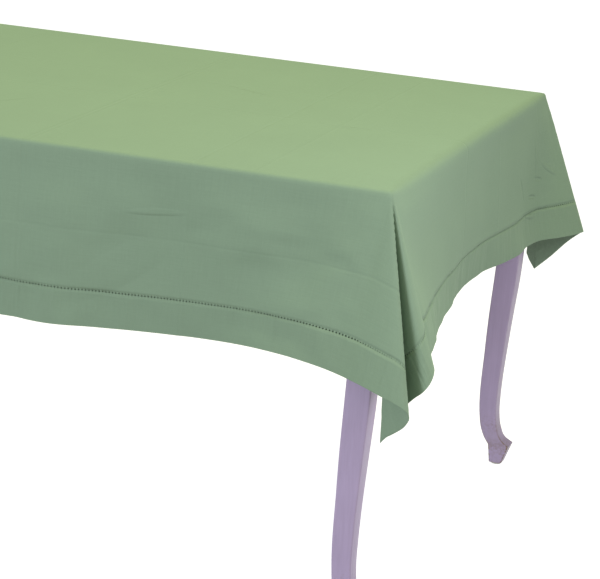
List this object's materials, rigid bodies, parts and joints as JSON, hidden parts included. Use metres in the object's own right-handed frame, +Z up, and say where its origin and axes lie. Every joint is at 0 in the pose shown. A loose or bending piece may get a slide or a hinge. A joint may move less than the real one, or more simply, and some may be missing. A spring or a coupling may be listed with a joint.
{
  "type": "tablecloth on a table",
  "caption": "Rectangular dining table on cabriole legs, dressed with a hemstitched tablecloth that drapes over its edges, folds at the corners and lifts off.",
  "frame": {"origin": "on the floor, under the middle of the table", "axes": "+X along the table's length, -Y towards its front long side, +Z up"},
  "size_m": [2.0184, 1.1706, 0.7415],
  "materials": {
    "cloth": "sage green plain-weave cotton and linen, matt",
    "hem": "sage green plain weave, two layers",
    "hemstitch": "pale green thread",
    "leg_paint": "lilac paint over wood, satin, lightly worn",
    "frame_paint": "lilac paint over wood, satin",
    "bare_wood": "bare beech, sanded",
    "steel": "zinc plated",
    "glide": "moulded, off-white"
  },
  "bodies": {
    "table": {"tabletop": "frame_paint", "leg_front_left": "leg_paint", "leg_front_right": "leg_paint", "leg_back_right": "leg_paint", "leg_back_left": "leg_paint", "apron_front": "frame_paint", "apron_right": "frame_paint", "apron_back": "frame_paint", "apron_left": "frame_paint", "glide_front_left": "glide", "glide_front_right": "glide", "glide_back_right": "glide", "glide_back_left": "glide", "corner_brace_front_left": "bare_wood", "corner_brace_front_right": "bare_wood", "corner_brace_back_right": "bare_wood", "corner_brace_back_left": "bare_wood", "hanger_bolt_front_left": "steel", "hanger_bolt_front_right": "steel", "hanger_bolt_back_right": "steel", "hanger_bolt_back_left": "steel", "washer_front_left": "steel", "washer_front_right": "steel", "washer_back_right": "steel", "washer_back_left": "steel", "nut_front_left": "steel", "nut_front_right": "steel", "nut_back_right": "steel", "nut_back_left": "steel", "button_front_a": "bare_wood", "button_front_b": "bare_wood", "button_front_c": "bare_wood", "button_back_a": "bare_wood", "button_back_b": "bare_wood", "button_back_c": "bare_wood", "button_right": "bare_wood", "button_left": "bare_wood", "button_screw_front_a": "steel", "button_screw_front_b": "steel", "button_screw_front_c": "steel", "button_screw_back_a": "steel", "button_screw_back_b": "steel", "button_screw_back_c": "steel", "button_screw_right": "steel", "button_screw_left": "steel"},
    "tablecloth": {"cloth_panel": "cloth", "hem_front": "hem", "hem_right": "hem", "hem_back": "hem", "hem_left": "hem", "hemstitch_front": "hemstitch", "hemstitch_right": "hemstitch", "hemstitch_back": "hemstitch", "hemstitch_left": "hemstitch"}
  },
  "joints": [
    {"name": "cloth_lift", "type": "slide", "parent": "table", "child": "tablecloth", "axis": [0, 0, 1], "range_m": [0, 0.45]}
  ]
}
